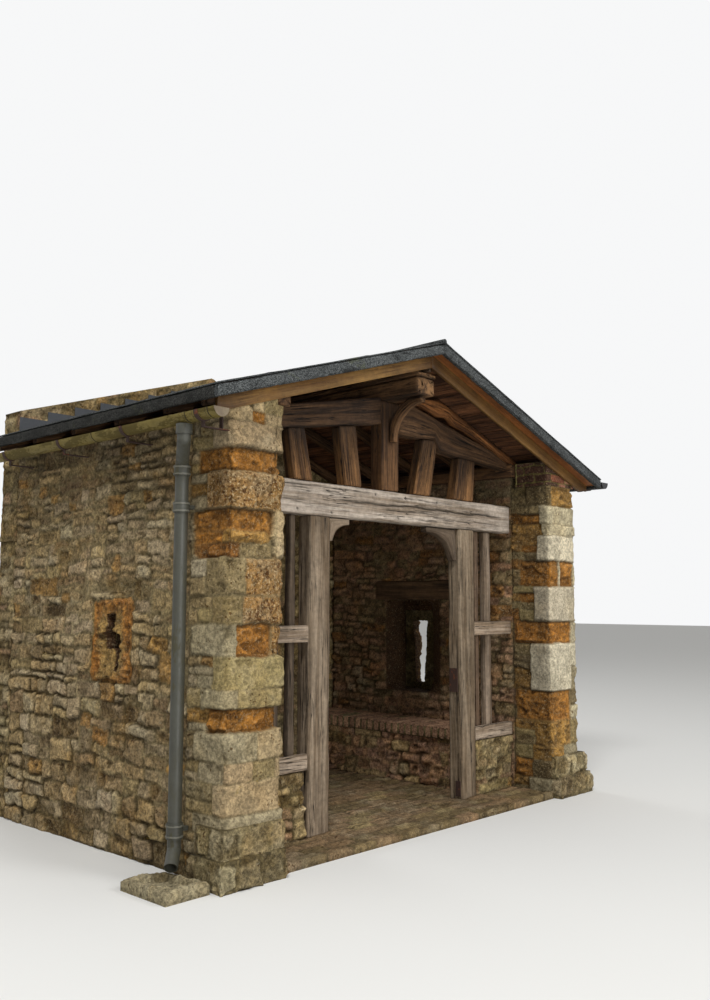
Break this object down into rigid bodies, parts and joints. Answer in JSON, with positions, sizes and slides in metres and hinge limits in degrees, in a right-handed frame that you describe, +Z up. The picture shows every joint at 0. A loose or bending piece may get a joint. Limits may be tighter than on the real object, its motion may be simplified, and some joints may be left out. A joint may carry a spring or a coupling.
{
  "type": "church porch",
  "caption": "Gabled church porch: stone side walls with slit windows and benches, an open oak front with a king post gable, and a felt roof with gutters.",
  "frame": {"origin": "on the level ground, in the middle of the front between the outer faces of the side walls, in the plane of the timber frame's front face", "axes": "+X east along the front, +Y into the porch towards the wall behind, +Z up"},
  "size_m": [4.709, 3, 3.722],
  "materials": {
    "rubble_stone": "matte",
    "orange_stone": "matte",
    "brick": "matte",
    "weathered_oak": "matte",
    "dark_oak": "matte",
    "new_softwood": "satin",
    "roof_felt": "matte",
    "stained_plastic": "matte",
    "black_plastic": "satin",
    "grey_plastic": "satin",
    "lead": "matte",
    "rusty_iron": "matte"
  },
  "bodies": {
    "root": {"west_wall": "rubble_stone", "east_wall": "rubble_stone", "rear_wall": "rubble_stone", "rear_gable": "rubble_stone", "rear_door_lintel": "weathered_oak", "floor_paving": "rubble_stone", "pier_feet": "rubble_stone", "east_brick_head": "brick", "west_slit_surround": "orange_stone", "east_slit_surround": "orange_stone", "recess_lintels": "dark_oak", "west_bench": "rubble_stone", "east_bench": "rubble_stone", "bench_copings": "brick", "sills": "rubble_stone", "lintel_beam": "weathered_oak", "west_post": "weathered_oak", "east_post": "weathered_oak", "head_braces": "weathered_oak", "side_rails": "weathered_oak", "side_mullions": "dark_oak", "king_post": "dark_oak", "king_brace": "dark_oak", "west_principal": "dark_oak", "east_principal": "dark_oak", "west_studs": "dark_oak", "east_studs": "dark_oak", "ridge_beam": "dark_oak", "ridge_cap": "dark_oak", "ridge_board": "dark_oak", "wall_plates": "dark_oak", "west_rafters": "dark_oak", "east_rafters": "dark_oak", "west_roof_boards": "dark_oak", "east_roof_boards": "dark_oak", "barge_boards": "new_softwood", "soffits": "new_softwood", "west_verge": "roof_felt", "east_verge": "roof_felt", "west_roof_cover": "roof_felt", "east_roof_cover": "roof_felt", "ridge_roll": "roof_felt", "west_gutter": "stained_plastic", "east_gutter": "black_plastic", "gutter_irons": "rusty_iron", "downpipe": "grey_plastic", "gully_tray": "rubble_stone", "rear_flashing": "lead", "post_irons": "rusty_iron"}
  },
  "joints": []
}
